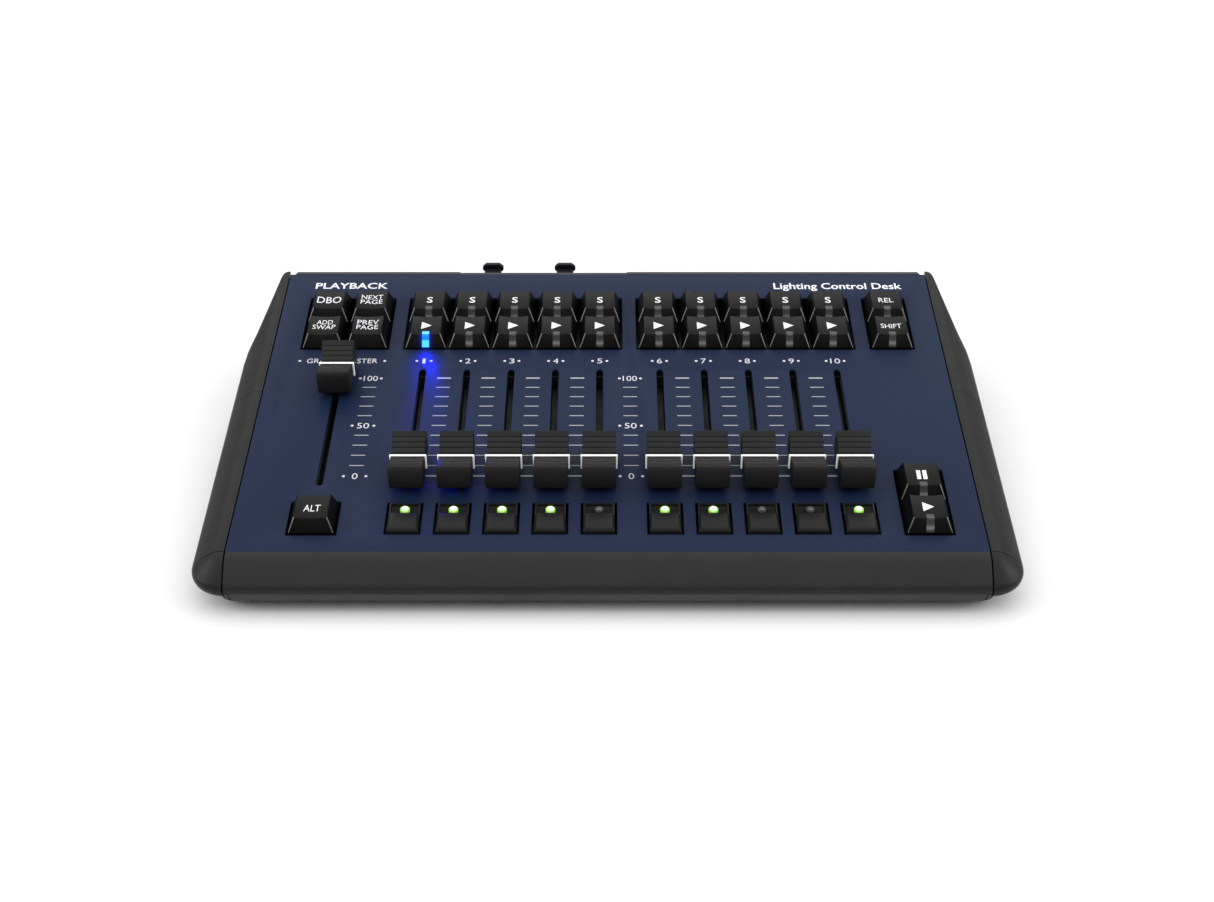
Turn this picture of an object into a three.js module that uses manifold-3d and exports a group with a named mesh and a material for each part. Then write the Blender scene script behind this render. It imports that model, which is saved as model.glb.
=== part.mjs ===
// Compact wing of a lighting control desk: a sloping blue control panel with eleven sliding
// faders, key blocks and flash buttons, set between rounded rails on a folded steel tray.
//
// Units are millimetres, +X to the operator's right, +Y to the back, +Z up. Everything that
// belongs to the sloping panel is laid out in panel coordinates: u across from the centre line,
// v up the slope from the panel's front edge, w square out of the panel.

import * as THREE from 'three';
import { mergeVertices } from 'three/addons/utils/BufferGeometryUtils.js';
import Module from 'manifold-3d';

// ---------------------------------------------------------------- driving dimensions

const KEY_PITCH = 19.05;                 // one key unit, across and up the slope
const PANEL_HALF = 146.6;                // half width of the panel, to the rails
const PANEL_DEPTH = 184;                 // slope length of the panel
const PANEL_THICK = 1.5;
const PANEL_TILT = THREE.MathUtils.degToRad(8);
const FRONT_EDGE_Z = 20.5;               // height of the panel's front edge above the floor
const GAP = 0.3;                         // clearance between pieces that meet

// columns of the ten playback faders and the master fader
const COLUMNS_LEFT = [0, 1, 2, 3, 4].map((i) => -79.6 + KEY_PITCH * i);
const COLUMNS_RIGHT = [0, 1, 2, 3, 4].map((i) => 22.48 + KEY_PITCH * i);
const COLUMNS = [...COLUMNS_LEFT, ...COLUMNS_RIGHT];
const MASTER_U = -115.05;

// faders
const TRAVEL = 60;
const SLOT_V = [37.8, 113];
const SLOT_WIDTH = 2.9;
const LOW_V = 45.4;                      // pointer line at the bottom stop
const CAP_WIDTH = 13.4;
const LINE_WIDTH = 14.4;

// key rows and blocks
const ROW_LOW = 136.6;
const ROW_HIGH = ROW_LOW + KEY_PITCH;
const PAGE_U = [-115.05 - KEY_PITCH / 2, -115.05 + KEY_PITCH / 2];
const SIDE_U = 124.65;                   // release, shift, pause and go keys
const GO_V = 18.75;
const PAUSE_V = GO_V + KEY_PITCH;
const ALT = { u: -114.8, v: 18.75 };
const BLOCK_MARGIN = 0.35;               // panel opening beyond the key units
const KEY_TRAVEL = 4;

// keycap, relative to its own centre
const SKIRT = 8.75;                      // half size of the square skirt
const KEY_TOP_W = 5.7;
const KEY_BASE_W = -2.6;

// flash buttons
const FLASH_OPEN = { half: 7.1, v: [9.6, 27.9] };
const FLASH_BODY = { half: 6.1, v: [10.4, 27.2] };
const LAMP_V = 24;

// electronics
const BOARD_W = [-13.6, -12];
const HOUSING_TOP = -1.9;
const XLR_U = [-53.4, -19.85];
const XLR_W = -18.5;
const USB_U = 1.5;

// rails and front bar: half section, distance out from the panel edge and height
const RAIL = [
  [0, 0], [3, -0.1], [4.6, -0.6], [8.3, -3.2], [11.9, -6], [12.9, -7.1], [13.35, -8.6],
  [13.15, -10.1], [12.4, -11.4], [11.1, -12.4], [9.3, -13], [0, -13],
];

// tray
const TRAY_Z = [2.3, 5.5];               // underside and top of its low rim
const TRAY_HALF = 149.4;
const TRAY_FRONT = -6.9;
const SHEET = 1.5;
const REAR_SHEET = 1.9;                  // rear wall, folded over along its top

// ---------------------------------------------------------------- solid helpers

const wasm = await Module();
wasm.setup();

function solid(geometry) {
  const bare = geometry.clone();
  for (const name of Object.keys(bare.attributes)) {
    if (name !== 'position') bare.deleteAttribute(name);
  }
  const merged = mergeVertices(bare, 1e-4);
  return new wasm.Manifold(new wasm.Mesh({
    numProp: 3,
    vertProperties: new Float32Array(merged.attributes.position.array),
    triVerts: new Uint32Array(merged.index.array),
  }));
}

function geometryOf(body) {
  const mesh = body.getMesh();
  const geometry = new THREE.BufferGeometry();
  geometry.setAttribute('position', new THREE.BufferAttribute(mesh.vertProperties, 3));
  geometry.setIndex(new THREE.BufferAttribute(mesh.triVerts, 1));
  const flat = geometry.toNonIndexed();
  flat.computeVertexNormals();
  return flat;
}

function box(x0, x1, y0, y1, z0, z1) {
  const geometry = new THREE.BoxGeometry(x1 - x0, y1 - y0, z1 - z0);
  geometry.translate((x0 + x1) / 2, (y0 + y1) / 2, (z0 + z1) / 2);
  return solid(geometry);
}

// upright cylinder from z0 to z1
function post(radius, x, y, z0, z1, sides = 12) {
  const geometry = new THREE.CylinderGeometry(radius, radius, z1 - z0, sides);
  geometry.rotateX(Math.PI / 2);
  geometry.translate(x, y, (z0 + z1) / 2);
  return solid(geometry);
}

// cylinder lying along the slope, from y0 to y1
function barrel(radius, x, z, y0, y1, sides = 24) {
  const geometry = new THREE.CylinderGeometry(radius, radius, y1 - y0, sides);
  geometry.translate(x, (y0 + y1) / 2, z);
  return solid(geometry);
}

function shapeOf(points) {
  return new THREE.Shape(points.map(([x, y]) => new THREE.Vector2(x, y)));
}

// plan outline raised from z0 to z1
function plate(points, z0, z1) {
  const geometry = new THREE.ExtrudeGeometry(shapeOf(points), { depth: z1 - z0, bevelEnabled: false });
  geometry.translate(0, 0, z0);
  return solid(geometry);
}

// side outline given as (y, z), spread from x0 to x1
function profileAlongX(points, x0, x1) {
  const geometry = new THREE.ExtrudeGeometry(shapeOf(points), { depth: x1 - x0, bevelEnabled: false });
  geometry.applyMatrix4(new THREE.Matrix4().set(0, 0, 1, x0, 1, 0, 0, 0, 0, 1, 0, 0, 0, 0, 0, 1));
  return solid(geometry);
}

// front outline given as (x, z), spread from y0 to y1
function profileAlongY(points, y0, y1) {
  const geometry = new THREE.ExtrudeGeometry(shapeOf(points), { depth: y1 - y0, bevelEnabled: false });
  geometry.applyMatrix4(new THREE.Matrix4().set(1, 0, 0, 0, 0, 0, -1, y1, 0, 1, 0, 0, 0, 0, 0, 1));
  return solid(geometry);
}

// stack of rectangles [x0, x1, y0, y1, z], joined by straight sides
function taper(levels) {
  const positions = [];
  for (const [x0, x1, y0, y1, z] of levels) {
    positions.push(x0, y0, z, x1, y0, z, x1, y1, z, x0, y1, z);
  }
  const index = [0, 2, 1, 0, 3, 2];
  for (let level = 0; level + 1 < levels.length; level += 1) {
    for (let side = 0; side < 4; side += 1) {
      const a = 4 * level + side;
      const b = 4 * level + (side + 1) % 4;
      index.push(a, b, b + 4, a, b + 4, a + 4);
    }
  }
  const top = 4 * (levels.length - 1);
  index.push(top, top + 1, top + 2, top, top + 2, top + 3);
  const geometry = new THREE.BufferGeometry();
  geometry.setAttribute('position', new THREE.Float32BufferAttribute(positions, 3));
  geometry.setIndex(index);
  return solid(geometry);
}

function rectangle(x0, x1, y0, y1) {
  return [[x0, y0], [x1, y0], [x1, y1], [x0, y1]];
}

function arc(cx, cy, radius, from, to, steps) {
  return Array.from({ length: steps + 1 }, (_, i) => {
    const angle = THREE.MathUtils.degToRad(from + (to - from) * i / steps);
    return [cx + radius * Math.cos(angle), cy + radius * Math.sin(angle)];
  });
}

// slot running up the slope with round ends
function slotOutline(u, [v0, v1], width) {
  const r = width / 2;
  return [...arc(u, v1 - r, r, 0, 180, 4), ...arc(u, v0 + r, r, 180, 360, 4)];
}

function union(bodies) {
  return bodies.reduce((sum, body) => sum.add(body));
}

// ---------------------------------------------------------------- materials

function surface(color, roughness, metalness) {
  return new THREE.MeshStandardMaterial({ color, roughness, metalness, flatShading: true });
}

const finishes = {
  panelBlue: () => surface(0x35405c, 0.55, 0.25),
  trayGrey: () => surface(0x3c3d3f, 0.5, 0.4),
  railPlastic: () => surface(0x37383a, 0.6, 0),
  keyPlastic: () => surface(0x2f3031, 0.55, 0),
  capPlastic: () => surface(0x28292a, 0.5, 0),
  latchPlastic: () => surface(0x15171b, 0.45, 0),
  boardGreen: () => surface(0x1f3b2a, 0.6, 0),
  footRubber: () => surface(0x141414, 0.9, 0),
};

// ---------------------------------------------------------------- scene graph

const desk = new THREE.Group();          // y = 0 at the panel's front edge, z = 0 on the floor
const slope = new THREE.Group();         // panel coordinates
slope.position.set(0, 0, FRONT_EDGE_Z);
slope.rotation.x = PANEL_TILT;
desk.add(slope);

function place(parent, name, body, finish, [x, y, z] = [0, 0, 0]) {
  const mesh = new THREE.Mesh(geometryOf(body), finishes[finish]());
  mesh.name = name;
  mesh.position.set(x, y, z);
  parent.add(mesh);
  return mesh;
}

// point of the panel frame in the desk frame, as (y, z)
function onSlope(v, w) {
  const c = Math.cos(PANEL_TILT);
  const s = Math.sin(PANEL_TILT);
  return [v * c - w * s, FRONT_EDGE_Z + v * s + w * c];
}

// ---------------------------------------------------------------- key layout

const keys = [];
COLUMNS.forEach((u, i) => {
  keys.push({ name: `select_key_${i + 1}`, u, v: ROW_HIGH });
  keys.push({ name: `go_key_${i + 1}`, u, v: ROW_LOW });
});
keys.push({ name: 'blackout_key', u: PAGE_U[0], v: ROW_HIGH });
keys.push({ name: 'next_page_key', u: PAGE_U[1], v: ROW_HIGH });
keys.push({ name: 'add_swap_key', u: PAGE_U[0], v: ROW_LOW });
keys.push({ name: 'prev_page_key', u: PAGE_U[1], v: ROW_LOW });
keys.push({ name: 'release_key', u: SIDE_U, v: ROW_HIGH });
keys.push({ name: 'shift_key', u: SIDE_U, v: ROW_LOW });
keys.push({ name: 'pause_key', u: SIDE_U, v: PAUSE_V });
keys.push({ name: 'master_go_key', u: SIDE_U, v: GO_V });
keys.push({ name: 'alt_key', u: ALT.u, v: ALT.v });

// ---------------------------------------------------------------- top panel

function blockOpening(u0, u1, v0, v1) {
  const reach = KEY_PITCH / 2 + BLOCK_MARGIN;
  return rectangle(u0 - reach, u1 + reach, v0 - reach + 0.2, v1 + reach - 0.2);
}

const panelHoles = [
  blockOpening(PAGE_U[0], PAGE_U[1], ROW_LOW, ROW_HIGH),
  blockOpening(COLUMNS_LEFT[0], COLUMNS_LEFT[4], ROW_LOW, ROW_HIGH),
  blockOpening(COLUMNS_RIGHT[0], COLUMNS_RIGHT[4], ROW_LOW, ROW_HIGH),
  blockOpening(SIDE_U, SIDE_U, ROW_LOW, ROW_HIGH),
  blockOpening(SIDE_U, SIDE_U, GO_V, PAUSE_V),
  blockOpening(ALT.u, ALT.u, ALT.v, ALT.v),
  ...[...COLUMNS, MASTER_U].map((u) => slotOutline(u, SLOT_V, SLOT_WIDTH)),
  ...COLUMNS.map((u) => rectangle(u - FLASH_OPEN.half, u + FLASH_OPEN.half, ...FLASH_OPEN.v)),
];

const sheet = plate(rectangle(-PANEL_HALF + GAP, PANEL_HALF - GAP, 0, PANEL_DEPTH), -PANEL_THICK, 0);
const cutters = union(panelHoles.map((outline) => plate(outline, -PANEL_THICK - 1, 1)));
place(slope, 'top_panel', sheet.subtract(cutters), 'panelBlue');

// ---------------------------------------------------------------- front bar and side cheeks

place(slope, 'front_bar', profileAlongX(
  RAIL.map(([out, w]) => [-out - GAP, w]),
  -PANEL_HALF + GAP, PANEL_HALF - GAP,
), 'railPlastic');

// a cheek is the rail section run up the slope, turned through a quarter circle at the front
// corner and drawn in to a narrow tip at the back
function cheek() {
  const run = profileAlongY(RAIL, 0, 187);
  const turn = new THREE.LatheGeometry(
    RAIL.slice().reverse().map(([out, w]) => new THREE.Vector2(out, w)), 48,
  );
  turn.rotateX(Math.PI / 2);
  const corner = solid(turn).intersect(box(0, 20, -20, 0.5, -20, 1));
  const plan = [
    [0, -20], [20, -20], [20, 126], [12.9, 134], [10.2, 145], [8.2, 156.3], [6.3, 167.8],
    [4.5, 179.6], [3.9, 183.4], [3.1, 185.6], [2.1, 186.4], [0.7, 186.4], [0, 185.2],
  ];
  return run.add(corner).intersect(plate(plan, -20, 2));
}

function mirrored(body) {
  return body.mirror([1, 0, 0]);
}

place(slope, 'right_cheek', cheek(), 'railPlastic', [PANEL_HALF, 0, 0]);
place(slope, 'left_cheek', mirrored(cheek()), 'railPlastic', [-PANEL_HALF, 0, 0]);

// ---------------------------------------------------------------- tray

function trayBody() {
  const wallOut = PANEL_HALF - GAP;
  const wallIn = wallOut - SHEET;
  const [rearFootY] = onSlope(PANEL_DEPTH + 1, -44.6);
  const corner = 5.2;
  const outline = (inset) => [
    ...arc(-TRAY_HALF + corner, TRAY_FRONT + corner, corner - inset, 180, 270, 6),
    ...arc(TRAY_HALF - corner, TRAY_FRONT + corner, corner - inset, 270, 360, 6),
    [TRAY_HALF - inset, 120], [wallOut - inset, 132],
    [wallOut - inset, rearFootY - inset], [-wallOut + inset, rearFootY - inset],
    [-wallOut + inset, 132], [-TRAY_HALF + inset, 120],
  ];
  const rim = plate(outline(0), TRAY_Z[0], TRAY_Z[1])
    .subtract(plate(outline(SHEET), TRAY_Z[0] + SHEET, TRAY_Z[1] + 1));

  // side walls stand just inside the cheeks, up to the underside of the panel
  const wall = [
    [4, TRAY_Z[0] + 0.5], onSlope(4, -PANEL_THICK - GAP),
    onSlope(PANEL_DEPTH + 1, -PANEL_THICK - GAP), [rearFootY - 0.2, TRAY_Z[0] + 0.5],
  ];
  const walls = [profileAlongX(wall, wallIn, wallOut), profileAlongX(wall, -wallOut, -wallIn)];

  // rear wall: its top edge follows the panel, a little lower over the sockets
  const top = -0.1;
  const rear = [
    [-wallOut, -44.2], [wallOut, -44.2], [wallOut, -3.2], [wallOut - 3, top], [9.3, top],
    [8.7, top - 0.45], [-67.9, top - 0.45], [-68.5, top], [-wallOut + 3, top], [-wallOut, -3.2],
  ];
  let back = profileAlongY(rear, PANEL_DEPTH + GAP, PANEL_DEPTH + GAP + REAR_SHEET);
  for (const u of XLR_U) {
    back = back.subtract(barrel(12.2, u, XLR_W, PANEL_DEPTH - 2, PANEL_DEPTH + 4))
      .subtract(box(u - 6.6, u + 6.6, PANEL_DEPTH - 2, PANEL_DEPTH + 4, -12, -1.9));
  }
  back = back.subtract(box(USB_U - 5, USB_U + 5, PANEL_DEPTH - 2, PANEL_DEPTH + 4, -12.6, -8.2));
  const turned = new THREE.Matrix4().makeRotationX(PANEL_TILT).setPosition(0, 0, FRONT_EDGE_Z);
  back = back.transform(turned.elements.slice());

  // bosses that carry the circuit board
  const bosses = [];
  for (const x of [-128, 0.5, 134]) {
    for (const v of [33, 121.5]) {
      const [y, z] = onSlope(v, BOARD_W[0] - 1.2);
      bosses.push(post(3.5, x, y, TRAY_Z[0] + 0.4, z, 10));
    }
  }
  return union([rim, ...walls, back, ...bosses]);
}

place(desk, 'base_tray', trayBody(), 'trayGrey');

for (const [name, y] of [['front_foot_strip', 8], ['rear_foot_strip', 158]]) {
  place(desk, name, box(-118, 118, -5, 5, 0, TRAY_Z[0] - GAP), 'footRubber', [0, y, 0]);
}

// ---------------------------------------------------------------- circuit board assembly

function faderBody(u) {
  return box(u - 4.6, u + 4.6, SLOT_V[0] - 2, SLOT_V[1] + 2, BOARD_W[1] - 0.4, -3.4)
    .subtract(box(u - 1.6, u + 1.6, SLOT_V[0] + 0.6, SLOT_V[1] - 0.6, -10.4, -3));
}

function keySwitch(u, v) {
  return taper([
    [u - 7, u + 7, v - 7, v + 7, BOARD_W[1] - 0.4],
    [u - 7, u + 7, v - 7, v + 7, -7],
    [u - 5.2, u + 5.2, v - 5.2, v + 5.2, HOUSING_TOP],
  ])
    .subtract(box(u - 3.4, u + 3.4, v - 3.4, v + 3.4, -9.4, 0));
}

function flashSwitch(u) {
  const lamp = new THREE.SphereGeometry(1.5, 10, 5);
  lamp.rotateX(Math.PI / 2);
  lamp.translate(u, LAMP_V, -1.2);
  return [
    box(u - 3.1, u + 3.1, 12.4, 18.6, BOARD_W[1] - 0.4, -8),
    post(1.5, u, LAMP_V, BOARD_W[1] - 0.4, -1.2, 10),
    solid(lamp),
  ];
}

// five-pole output socket with a latch channel along its top
function outputSocket(u) {
  const front = PANEL_DEPTH + 3;
  let body = union([
    barrel(11.8, u, XLR_W, PANEL_DEPTH - 14, front),
    box(u - 12.6, u + 12.6, PANEL_DEPTH - 24, PANEL_DEPTH - 0.4, XLR_W - 12.4, -7.2),
    box(u - 6.2, u + 6.2, PANEL_DEPTH - 14, front, -12, -2.3),
  ]);
  body = body.subtract(barrel(9.7, u, XLR_W, front - 9, front + 1))
    .add(barrel(8, u, XLR_W, front - 9.2, front - 0.4))
    .subtract(box(u - 4.3, u + 4.3, PANEL_DEPTH - 12, front + 1, -6.5, -2.6));
  for (const angle of [30, 90, 150, 210, 330]) {
    const a = THREE.MathUtils.degToRad(angle);
    const hole = barrel(1.1, u + 4.6 * Math.cos(a), XLR_W - 4.6 * Math.sin(a), front - 7, front + 1, 6);
    body = body.subtract(hole);
  }
  return body;
}

function dataSocket() {
  const [v0, v1] = [PANEL_DEPTH - 8, PANEL_DEPTH + 1.6];
  return box(USB_U - 4.5, USB_U + 4.5, v0, v1, BOARD_W[1] - 0.3, -8.7)
    .subtract(box(USB_U - 4.1, USB_U + 4.1, v1 - 6.2, v1 + 1, -11.8, -9.1))
    .add(box(USB_U - 3.2, USB_U + 3.2, v1 - 6.4, v1 - 1, -10.8, -10.1));
}

place(slope, 'main_board', union([
  box(-140, 140, 4.5, 178, ...BOARD_W),
  ...[...COLUMNS, MASTER_U].map(faderBody),
  ...keys.map(({ u, v }) => keySwitch(u, v)),
  ...COLUMNS.flatMap(flashSwitch),
  ...XLR_U.map(outputSocket),
  dataSocket(),
]), 'boardGreen');

// ---------------------------------------------------------------- keycaps

function keycap() {
  const dish = new THREE.CylinderGeometry(38, 38, 30, 96);
  dish.translate(0, 0, KEY_TOP_W + 38 - 0.55);
  return taper([
    [-SKIRT, SKIRT, -SKIRT, SKIRT, KEY_BASE_W],
    [-SKIRT, SKIRT, -SKIRT, SKIRT, 0.3],
    [-6.5, 6.5, -5.6, 7.5, KEY_TOP_W],
  ])
    .subtract(solid(dish))
    .subtract(taper([
      [-7.6, 7.6, -7.6, 7.6, KEY_BASE_W - 1],
      [-7.5, 7.5, -7.5, 7.5, -0.3],
      [-5.8, 5.8, -5.4, 6.3, 2.8],
    ]))
    .add(post(2.7, 0, 0, -4.6, 3.2, 10));
}

const cap = keycap();
for (const { name, u, v } of keys) place(slope, name, cap, 'keyPlastic', [u, v, 0]);

// ---------------------------------------------------------------- flash buttons

// low button with a raised finger plate in front and a recessed lamp window behind
function flashButton() {
  const { half, v: [v0, v1] } = FLASH_BODY;
  return box(-half, half, v0, v1, -4.4, 0.3)
    .add(taper([
      [-half, half, v0, 19.2, 0.2],
      [-half, half, v0, 19.2, 0.3],
      [-4.9, 4.9, 12.1, 19.15, 1.9],
    ]))
    .subtract(box(-half + 0.8, half - 0.8, 19.4, v1 - 0.5, -1, 1))
    .subtract(post(2, 0, LAMP_V, -6, 1, 12))
    .add(post(2.4, 0, 15.5, -6.7, -4, 10));
}

const flash = flashButton();
COLUMNS.forEach((u, i) => place(slope, `flash_button_${i + 1}`, flash, 'keyPlastic', [u, 0, 0]));

// ---------------------------------------------------------------- fader caps

// saddle-shaped cap with its pointer line across the valley, hollow below, on a flat stem
function faderCap() {
  const half = CAP_WIDTH / 2;
  const side = [
    [-12.5, 2.5], [-13, 6], [-12.9, 10.2], [-12.3, 12.5], [-11.3, 13.7], [-10, 14.1],
    [-5.2, 11.6], [-0.8, 9.4], [0.8, 9.4], [5, 11.5], [9.8, 13.5], [11.1, 12.9],
    [12.2, 10.6], [12.6, 6], [12.3, 2.5],
  ];
  return profileAlongX(side.slice().reverse(), -half, half)
    .subtract(box(-half + 1.3, half - 1.3, -11, 11, 2, 6.8))
    .add(box(-LINE_WIDTH / 2, LINE_WIDTH / 2, -0.55, 0.55, 4.4, 9.5))
    .add(box(-0.7, 0.7, -2.5, 2.5, -8.4, 7));
}

const slider = faderCap();
COLUMNS.forEach((u, i) => place(slope, `fader_cap_${i + 1}`, slider, 'capPlastic', [u, LOW_V, 0]));
place(slope, 'master_fader_cap', slider, 'capPlastic', [MASTER_U, LOW_V + TRAVEL, 0]);

// ---------------------------------------------------------------- socket latches

// octagonal thumb pad on a flat neck that slides in the channel over its socket
function latch() {
  const pad = [
    [-4.85, -5.1], [-3, -6.8], [3, -6.8], [4.85, -5.1],
    [4.85, -2.9], [3, -1.2], [-3, -1.2], [-4.85, -2.9],
  ];
  return profileAlongY(pad, PANEL_DEPTH + 9, PANEL_DEPTH + 10.8)
    .add(box(-3.85, 3.85, PANEL_DEPTH - 9, PANEL_DEPTH + 9.4, -6.1, -3));
}

XLR_U.forEach((u, i) => place(slope, `socket_latch_${i + 1}`, latch(), 'latchPlastic', [u, 0, 0]));

// ---------------------------------------------------------------- origin

// stand the desk on z = 0 with the origin under the middle of its footprint
desk.updateMatrixWorld(true);
const bounds = new THREE.Box3().setFromObject(desk, true);
desk.position.set(
  -(bounds.min.x + bounds.max.x) / 2, -(bounds.min.y + bounds.max.y) / 2, -bounds.min.z,
);
const model = new THREE.Group();
model.add(desk);
model.updateMatrixWorld(true);

export default model;
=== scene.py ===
import math
import bpy
import bmesh
from mathutils import Matrix, Vector


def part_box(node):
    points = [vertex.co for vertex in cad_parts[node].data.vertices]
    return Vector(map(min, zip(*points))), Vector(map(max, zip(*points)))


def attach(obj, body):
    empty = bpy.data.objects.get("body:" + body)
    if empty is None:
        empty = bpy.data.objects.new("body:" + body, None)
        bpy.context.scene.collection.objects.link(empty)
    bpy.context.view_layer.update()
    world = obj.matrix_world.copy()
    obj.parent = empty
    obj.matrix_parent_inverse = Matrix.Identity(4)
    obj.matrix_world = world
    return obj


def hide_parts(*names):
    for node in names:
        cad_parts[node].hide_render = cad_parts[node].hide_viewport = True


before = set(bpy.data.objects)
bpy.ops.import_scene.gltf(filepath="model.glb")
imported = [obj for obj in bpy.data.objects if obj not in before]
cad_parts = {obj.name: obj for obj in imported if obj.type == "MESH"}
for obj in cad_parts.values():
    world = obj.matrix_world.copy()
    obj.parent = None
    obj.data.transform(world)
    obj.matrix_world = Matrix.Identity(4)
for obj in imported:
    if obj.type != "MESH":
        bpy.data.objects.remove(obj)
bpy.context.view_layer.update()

# ------------------------------------------------------------------ layout
# Lengths are in millimetres. On the panel u runs to the right, v up the slope from the
# front edge and w square out of the face.

MM = 0.001
TILT = math.radians(8)
PANEL_HALF = 146.6
PANEL_DEPTH = 184.0
KEY_PITCH = 19.05
COLUMNS = [-79.6 + KEY_PITCH * i for i in range(5)] + [22.48 + KEY_PITCH * i for i in range(5)]

# faders: the resting place of the caps, their travel and the ends of the slots
MASTER_U = -115.05
LOW_V = 45.4
TRAVEL = 60.0
SLOT_V = (37.8, 113.0)

# keys: the two long rows, the page block, the block on the right, go and alt
ROW_LOW = 136.6
ROW_HIGH = ROW_LOW + KEY_PITCH
PAGE_U = (MASTER_U - KEY_PITCH / 2, MASTER_U + KEY_PITCH / 2)
SIDE_U = 124.65
GO_V = 18.75
ALT_UV = (-114.8, 18.75)
LIT_KEY = "go_key_1"

# lamps in the flash buttons
LAMP_V = 24.2
LIT_LAMPS = (1, 2, 3, 4, 6, 7, 10)

# rear sockets: round ones, the ring of their contacts, and the data socket
SOCKET_U = (-53.4, -19.85)
SOCKET_W = -18.5
CONTACT_RING = 4.6
CONTACT_ANGLES = (30, 90, 150, 210, 330)
DATA_SOCKET_U = 1.5

# print on the panel: the scales, the row of numbers, and how far ink stands proud
SCALE_ZERO_V = 43.6
SCALE_STEP = 6.32
NUMBER_V = 118.8
INK_PROUD = 0.03

# the circuit board's two faces
BOARD_W = (-13.5, -12.1)
BOARD_MOUNT_W = -12

# camera: lens and sensor width, place on the panel's axes, angle of view down onto the panel
LENS = 51.75
SENSOR_WIDTH = 36
CAMERA_AT = (-0.25, -480.4, 463.9)
CAMERA_DIP = 40.7

# light: dome, side panels, and the world as a light and as the backdrop the camera sees
DOME_SPREAD = 132
DOME_ENERGY = 3.55
SIDE_RADIANCE = 3.3
WORLD_LIGHT = 0.1
WORLD_SEEN = 1.0

panel_low, panel_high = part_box("top_panel")
FRONT_EDGE = Vector((0, panel_low.y, panel_high.z - PANEL_DEPTH * MM * math.sin(TILT)))
SLOPE = Matrix.Translation(FRONT_EDGE) @ Matrix.Rotation(TILT, 4, "X")
LEVEL = Matrix.Translation((0, FRONT_EDGE.y, 0))


def on_slope(u, v, w):
    """A point of the panel frame, in millimetres, in the row frame."""
    return SLOPE @ (Vector((u, v, w)) * MM)


# ------------------------------------------------------------------ camera and light

scene = bpy.context.scene
scene.view_settings.view_transform = "Standard"

camera_data = bpy.data.cameras.new("camera")
camera_data.lens = LENS
camera_data.sensor_width = SENSOR_WIDTH
camera_data.clip_start = 0.01
camera = bpy.data.objects.new("camera", camera_data)
scene.collection.objects.link(camera)
camera.location = on_slope(*CAMERA_AT)
camera.rotation_euler = (math.radians(90 - CAMERA_DIP) + TILT, 0, 0)
scene.camera = camera


def node_tree(owner):
    owner.use_nodes = True
    owner.node_tree.nodes.clear()
    return owner.node_tree.nodes, owner.node_tree.links


def place_light(name, kind, location, target=None):
    data = bpy.data.lights.new(name, kind)
    light = bpy.data.objects.new(name, data)
    scene.collection.objects.link(light)
    light.location = location
    if target is not None:
        aim = Vector(target) - Vector(location)
        light.rotation_euler = aim.to_track_quat("-Z", "Y").to_euler()
    return data


# broad even dome above, leaning back so that the soft shadow falls to the front
dome = place_light("dome", "SUN", (0, 0.3, 2), (0, 0, 0))
dome.angle = math.radians(DOME_SPREAD)
dome.energy = DOME_ENERGY

# low panels at both sides, seen in the chamfers of the keys
for name, side in (("side_left", -1), ("side_right", 1)):
    panel_light = place_light(name, "AREA", (side * 1.2, -0.12, 0.5), (0, 0, 0.03))
    panel_light.shape = "RECTANGLE"
    panel_light.size, panel_light.size_y = 0.7, 0.55
    panel_light.energy = SIDE_RADIANCE * math.pi * panel_light.size * panel_light.size_y

world = bpy.data.worlds.new("studio")
scene.world = world
nodes, links = node_tree(world)
backgrounds = []
for strength in (WORLD_LIGHT, WORLD_SEEN):
    background = nodes.new("ShaderNodeBackground")
    background.inputs["Color"].default_value = (1, 1, 1, 1)
    background.inputs["Strength"].default_value = strength
    backgrounds.append(background)
seen = nodes.new("ShaderNodeLightPath")
choice = nodes.new("ShaderNodeMixShader")
world_out = nodes.new("ShaderNodeOutputWorld")
links.new(seen.outputs["Is Camera Ray"], choice.inputs[0])
links.new(backgrounds[0].outputs[0], choice.inputs[1])
links.new(backgrounds[1].outputs[0], choice.inputs[2])
links.new(choice.outputs[0], world_out.inputs[0])

# ------------------------------------------------------------------ materials


def shader(name):
    material = bpy.data.materials.new(name)
    nodes, links = node_tree(material)
    principled = nodes.new("ShaderNodeBsdfPrincipled")
    output = nodes.new("ShaderNodeOutputMaterial")
    links.new(principled.outputs[0], output.inputs[0])
    coords = nodes.new("ShaderNodeTexCoord")
    return material, nodes, links, principled, coords.outputs["Object"]


def noise(nodes, links, coords, scale, detail=3.0, roughness=0.5):
    texture = nodes.new("ShaderNodeTexNoise")
    texture.inputs["Scale"].default_value = scale
    texture.inputs["Detail"].default_value = detail
    texture.inputs["Roughness"].default_value = roughness
    links.new(coords, texture.inputs["Vector"])
    return texture.outputs["Fac"]


def ramp(nodes, links, factor, stops):
    node = nodes.new("ShaderNodeValToRGB")
    elements = node.color_ramp.elements
    while len(elements) > 1:
        elements.remove(elements[-1])
    elements[0].position, elements[0].color = stops[0][0], (*stops[0][1], 1)
    for position, color in stops[1:]:
        elements.new(position).color = (*color, 1)
    links.new(factor, node.inputs["Fac"])
    return node.outputs["Color"]


def remap(nodes, links, value, low, high, source=(0.3, 0.7)):
    node = nodes.new("ShaderNodeMapRange")
    for key, number in zip(("From Min", "From Max", "To Min", "To Max"), (*source, low, high)):
        node.inputs[key].default_value = number
    links.new(value, node.inputs["Value"])
    return node.outputs["Result"]


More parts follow.
